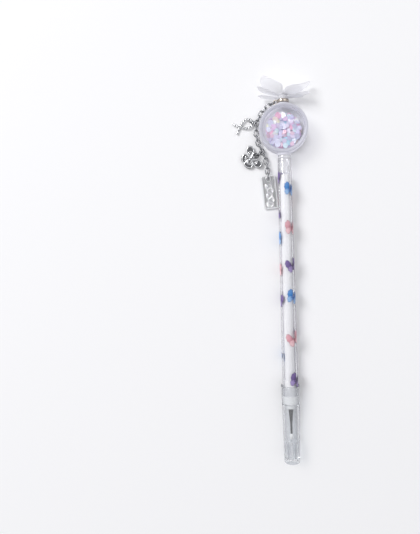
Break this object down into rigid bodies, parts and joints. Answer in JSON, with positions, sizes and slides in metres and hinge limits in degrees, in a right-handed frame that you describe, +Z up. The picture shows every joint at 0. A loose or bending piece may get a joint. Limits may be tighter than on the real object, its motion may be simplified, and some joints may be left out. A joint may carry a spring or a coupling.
{
  "type": "gel pen",
  "caption": "Capped clear gel pen with a round shaker capsule of confetti at its head, a frosted butterfly topper, and a swinging chain with a ribbon, a butterfly and a tag.",
  "frame": {"origin": "on the table, at the centre of the capsule's flat back", "axes": "+Y along the pen towards its topper, +Z up from the table, +X to the right"},
  "size_m": [0.0392, 0.1934, 0.0138],
  "materials": {
    "clear_plastic": "clear polystyrene, polished",
    "frosted_plastic": "frosted, satin",
    "wing_plastic": "frosted and translucent, fine lines along each wing",
    "flake_film": "iridescent film, pink to blue",
    "antique_silver": "antiqued silver plate, dark in the recesses",
    "bright_steel": "bright",
    "tube_plastic": "milky white, satin",
    "ink_gel": "black gel ink",
    "grease": "clear yellowish grease",
    "bead_resin": "milky soft resin"
  },
  "bodies": {
    "pen_body": {"barrel": "clear_plastic", "stem_plug": "clear_plastic", "capsule_body": "frosted_plastic", "capsule_ring": "frosted_plastic", "capsule_window": "clear_plastic", "topper_pin": "bright_steel", "topper_hub": "wing_plastic", "wings_lower": "wing_plastic", "wings_upper": "wing_plastic"},
    "refill_unit": {"nose_plug": "clear_plastic", "refill_tube": "tube_plastic", "gel_ink": "ink_gel", "grease_follower": "grease", "metal_tip": "bright_steel", "tip_bead": "bead_resin"},
    "ball": {"writing_ball": "bright_steel"},
    "cap": {"cap": "clear_plastic"},
    "confetti": {"confetti": "flake_film"},
    "swivel": {"swivel_ring": "bright_steel"},
    "link_01": {"link_01": "antique_silver"},
    "link_02": {"link_02": "antique_silver"},
    "link_03": {"link_03": "antique_silver"},
    "link_04": {"link_04": "antique_silver"},
    "link_05": {"link_05": "antique_silver"},
    "link_06": {"link_06": "antique_silver"},
    "link_07": {"link_07": "antique_silver"},
    "link_08": {"link_08": "antique_silver"},
    "link_09": {"link_09": "antique_silver"},
    "link_10": {"link_10": "antique_silver"},
    "link_11": {"link_11": "antique_silver"},
    "link_12": {"link_12": "antique_silver"},
    "link_13": {"link_13": "antique_silver"},
    "link_14": {"link_14": "antique_silver"},
    "link_15": {"link_15": "antique_silver"},
    "link_16": {"link_16": "antique_silver"},
    "ring_ribbon": {"jump_ring_ribbon": "antique_silver"},
    "ribbon_charm": {"ribbon_charm": "antique_silver"},
    "ring_butterfly": {"jump_ring_butterfly": "antique_silver"},
    "butterfly_charm": {"butterfly_charm": "antique_silver"},
    "ring_tag": {"jump_ring_tag": "antique_silver"},
    "tag": {"tag": "antique_silver"}
  },
  "joints": [
    {"name": "refill_pull", "type": "slide", "parent": "pen_body", "child": "refill_unit", "axis": [0, -1, 0], "range_m": [0, 0.115]},
    {"name": "cap_pull", "type": "slide", "parent": "refill_unit", "child": "cap", "axis": [0, -1, 0], "range_m": [0, 0.045]},
    {"name": "ball_roll", "type": "hinge", "parent": "refill_unit", "child": "ball", "pos_m": [0, -0.15228, 0.0049], "axis": [1, 0, 0], "continuous": true},
    {"name": "confetti_shake", "type": "slide", "parent": "pen_body", "child": "confetti", "axis": [0, 1, 0], "range_m": [0, 0.0012]},
    {"name": "swivel_turn", "type": "hinge", "parent": "pen_body", "child": "swivel", "pos_m": [0, 0.0135, 0.0049], "axis": [0, 1, 0], "continuous": true},
    {"name": "link_01_swing", "type": "hinge", "parent": "swivel", "child": "link_01", "pos_m": [-0.00415, 0.0135, 0.00339], "axis": [0, 1, 0], "range_deg": [-15, 15]},
    {"name": "link_02_swing", "type": "hinge", "parent": "link_01", "child": "link_02", "pos_m": [-0.0063, 0.01298, 0.00226], "axis": [0.2062, 0.1256, -0.9704], "range_deg": [0, 15]},
    {"name": "link_03_swing", "type": "hinge", "parent": "link_02", "child": "link_03", "pos_m": [-0.00834, 0.01173, 0.00167], "axis": [-0.689, 0.7248, 0], "range_deg": [0, 15]},
    {"name": "link_04_swing", "type": "hinge", "parent": "link_03", "child": "link_04", "pos_m": [-0.01013, 0.01004, 0.00142], "axis": [0.0016, 0.0022, -1], "range_deg": [0, 15]},
    {"name": "link_05_swing", "type": "hinge", "parent": "link_04", "child": "link_05", "pos_m": [-0.01162, 0.00806, 0.00141], "axis": [-0.8922, 0.4517, 0], "range_deg": [0, 15]},
    {"name": "link_06_swing", "type": "hinge", "parent": "link_05", "child": "link_06", "pos_m": [-0.01273, 0.00585, 0.00145], "axis": [0, 0, -1], "range_deg": [0, 15]},
    {"name": "link_07_swing", "type": "hinge", "parent": "link_06", "child": "link_07", "pos_m": [-0.0133, 0.00344, 0.00145], "axis": [-0.9957, 0.0931, 0], "range_deg": [0, 15]},
    {"name": "link_08_swing", "type": "hinge", "parent": "link_07", "child": "link_08", "pos_m": [-0.01353, 0.00097, 0.00145], "axis": [0, 0, -1], "range_deg": [0, 15]},
    {"name": "link_09_swing", "type": "hinge", "parent": "link_08", "child": "link_09", "pos_m": [-0.01351, -0.00151, 0.00145], "axis": [-0.9845, -0.1756, 0], "range_deg": [0, 15]},
    {"name": "link_10_swing", "type": "hinge", "parent": "link_09", "child": "link_10", "pos_m": [-0.01307, -0.00394, 0.00145], "axis": [0, 0, -1], "range_deg": [0, 15]},
    {"name": "link_11_swing", "type": "hinge", "parent": "link_10", "child": "link_11", "pos_m": [-0.01223, -0.00628, 0.00145], "axis": [-0.9188, -0.3947, 0], "range_deg": [0, 15]},
    {"name": "link_12_swing", "type": "hinge", "parent": "link_11", "child": "link_12", "pos_m": [-0.01126, -0.00856, 0.00145], "axis": [0, 0, -1], "range_deg": [0, 15]},
    {"name": "link_13_swing", "type": "hinge", "parent": "link_12", "child": "link_13", "pos_m": [-0.0101, -0.01075, 0.00145], "axis": [-0.939, -0.3438, 0], "range_deg": [-2.5, 15]},
    {"name": "link_14_swing", "type": "hinge", "parent": "link_13", "child": "link_14", "pos_m": [-0.00925, -0.01307, 0.00145], "axis": [0, 0, -1], "range_deg": [-2.5, 12.5]},
    {"name": "link_15_swing", "type": "hinge", "parent": "link_14", "child": "link_15", "pos_m": [-0.00882, -0.01551, 0.00145], "axis": [-0.9922, -0.1244, 0], "range_deg": [-2.5, 15]},
    {"name": "link_16_swing", "type": "hinge", "parent": "link_15", "child": "link_16", "pos_m": [-0.00851, -0.01798, 0.00145], "axis": [0, 0, -1], "range_deg": [-2.5, 12.5]},
    {"name": "ring_ribbon_lift", "type": "hinge", "parent": "link_06", "child": "ring_ribbon", "pos_m": [-0.01404, 0.00489, 0.00145], "axis": [0.2294, 0.9733, 0], "range_deg": [0, 40]},
    {"name": "ribbon_charm_turn", "type": "hinge", "parent": "ring_ribbon", "child": "ribbon_charm", "pos_m": [-0.01635, 0.00543, 0.0012], "axis": [-0.0374, 0.0088, 0.9993], "range_deg": [-12.5, 12.5]},
    {"name": "ring_butterfly_lift", "type": "hinge", "parent": "link_12", "child": "ring_butterfly", "pos_m": [-0.01161, -0.01014, 0.00145], "axis": [-0.4642, 0.8857, 0], "range_deg": [0, 40]},
    {"name": "butterfly_charm_turn", "type": "hinge", "parent": "ring_butterfly", "child": "butterfly_charm", "pos_m": [-0.01371, -0.01124, 0.0012], "axis": [-0.034, -0.0178, 0.9993], "range_deg": [-15, 0]},
    {"name": "ring_tag_lift", "type": "hinge", "parent": "link_16", "child": "ring_tag", "pos_m": [-0.00828, -0.02086, 0.00145], "axis": [-0.9968, -0.0795, 0], "range_deg": [0, 40]},
    {"name": "tag_turn", "type": "hinge", "parent": "ring_tag", "child": "tag", "pos_m": [-0.00809, -0.02322, 0.0012], "axis": [0.003, -0.0383, 0.9993], "range_deg": [-25, 25]}
  ]
}
